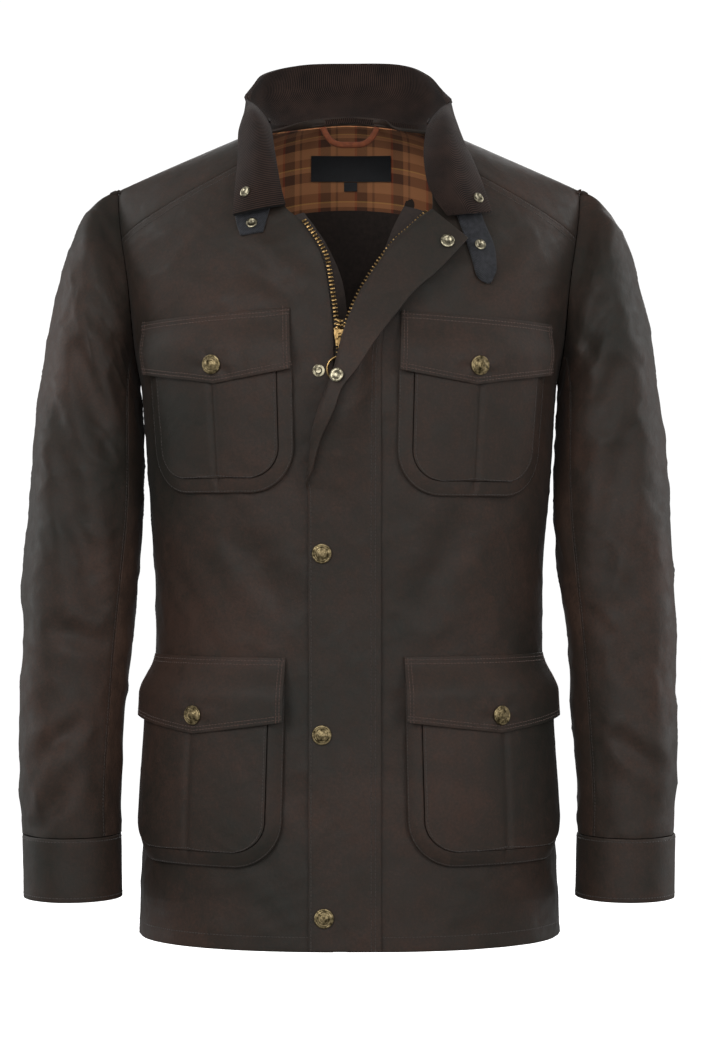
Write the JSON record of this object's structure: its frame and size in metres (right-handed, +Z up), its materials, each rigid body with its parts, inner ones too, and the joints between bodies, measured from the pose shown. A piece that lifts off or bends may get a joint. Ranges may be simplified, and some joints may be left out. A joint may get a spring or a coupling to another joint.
{
  "type": "waxed cotton field jacket",
  "caption": "Hip-length waxed cotton field jacket filled out as if worn, hollow and open at neck, cuffs and hem, with a corduroy collar, bellows pockets and a storm flap over the zip.",
  "frame": {"origin": "midway between the shoulders, at the height where they meet the neck", "axes": "+X to the wearer's left, -Y out of the front, +Z up"},
  "size_m": [0.608, 0.2906, 0.8292],
  "materials": {
    "waxed_cotton": "waxed, soft sheen",
    "corduroy": "needlecord, matte",
    "wool": "matte",
    "dark_twill": "matte twill",
    "check_lining": "brushed check",
    "brass": "antique"
  },
  "bodies": {
    "jacket": {"front_right": "waxed_cotton", "front_left": "waxed_cotton", "shoulder_right": "waxed_cotton", "shoulder_left": "waxed_cotton", "back": "waxed_cotton", "sleeve_right_top": "waxed_cotton", "sleeve_right_under": "waxed_cotton", "cuff_right": "waxed_cotton", "sleeve_left_top": "waxed_cotton", "sleeve_left_under": "waxed_cotton", "cuff_left": "waxed_cotton", "collar": "corduroy", "facing_right": "dark_twill", "facing_left": "dark_twill", "zip_tape_right": "dark_twill", "zip_tape_left": "dark_twill", "storm_flap": "waxed_cotton", "throat_tab": "wool", "tab_stub": "wool", "lining_yoke": "check_lining", "lining_back": "dark_twill", "label": "wool", "size_tab": "wool", "hanger_loop": "check_lining", "pocket_chest_right_face": "waxed_cotton", "pocket_chest_right_gusset": "waxed_cotton", "pocket_chest_right_flap": "waxed_cotton", "pocket_chest_left_face": "waxed_cotton", "pocket_chest_left_gusset": "waxed_cotton", "pocket_chest_left_flap": "waxed_cotton", "pocket_lower_right_face": "waxed_cotton", "pocket_lower_right_gusset": "waxed_cotton", "pocket_lower_right_flap": "waxed_cotton", "pocket_lower_left_face": "waxed_cotton", "pocket_lower_left_gusset": "waxed_cotton", "pocket_lower_left_flap": "waxed_cotton", "zip_slider": "brass", "flap_cap_top": "brass", "flap_cap_middle": "brass", "flap_cap_bottom": "brass", "stud_right": "brass", "tab_snap_left": "brass", "tab_snap_right": "brass", "pocket_chest_right_cap": "brass", "pocket_chest_left_cap": "brass", "pocket_lower_right_cap": "brass", "pocket_lower_left_cap": "brass", "flap_socket_top": "brass", "flap_socket_lower": "brass", "collar_ring_right": "brass", "collar_ring_left": "brass"},
    "zip_link": {"zip_link": "brass"},
    "zip_ring": {"zip_ring": "brass"}
  },
  "joints": [
    {"name": "link_swing", "type": "hinge", "parent": "jacket", "child": "zip_link", "pos_m": [-0.008, -0.141, -0.198], "axis": [1, 0, 0], "range_deg": [-5, 3.5]},
    {"name": "ring_swing", "type": "hinge", "parent": "zip_link", "child": "zip_ring", "pos_m": [-0.008, -0.141, -0.2168], "axis": [1, 0, 0], "range_deg": [-5, 3.5]}
  ]
}
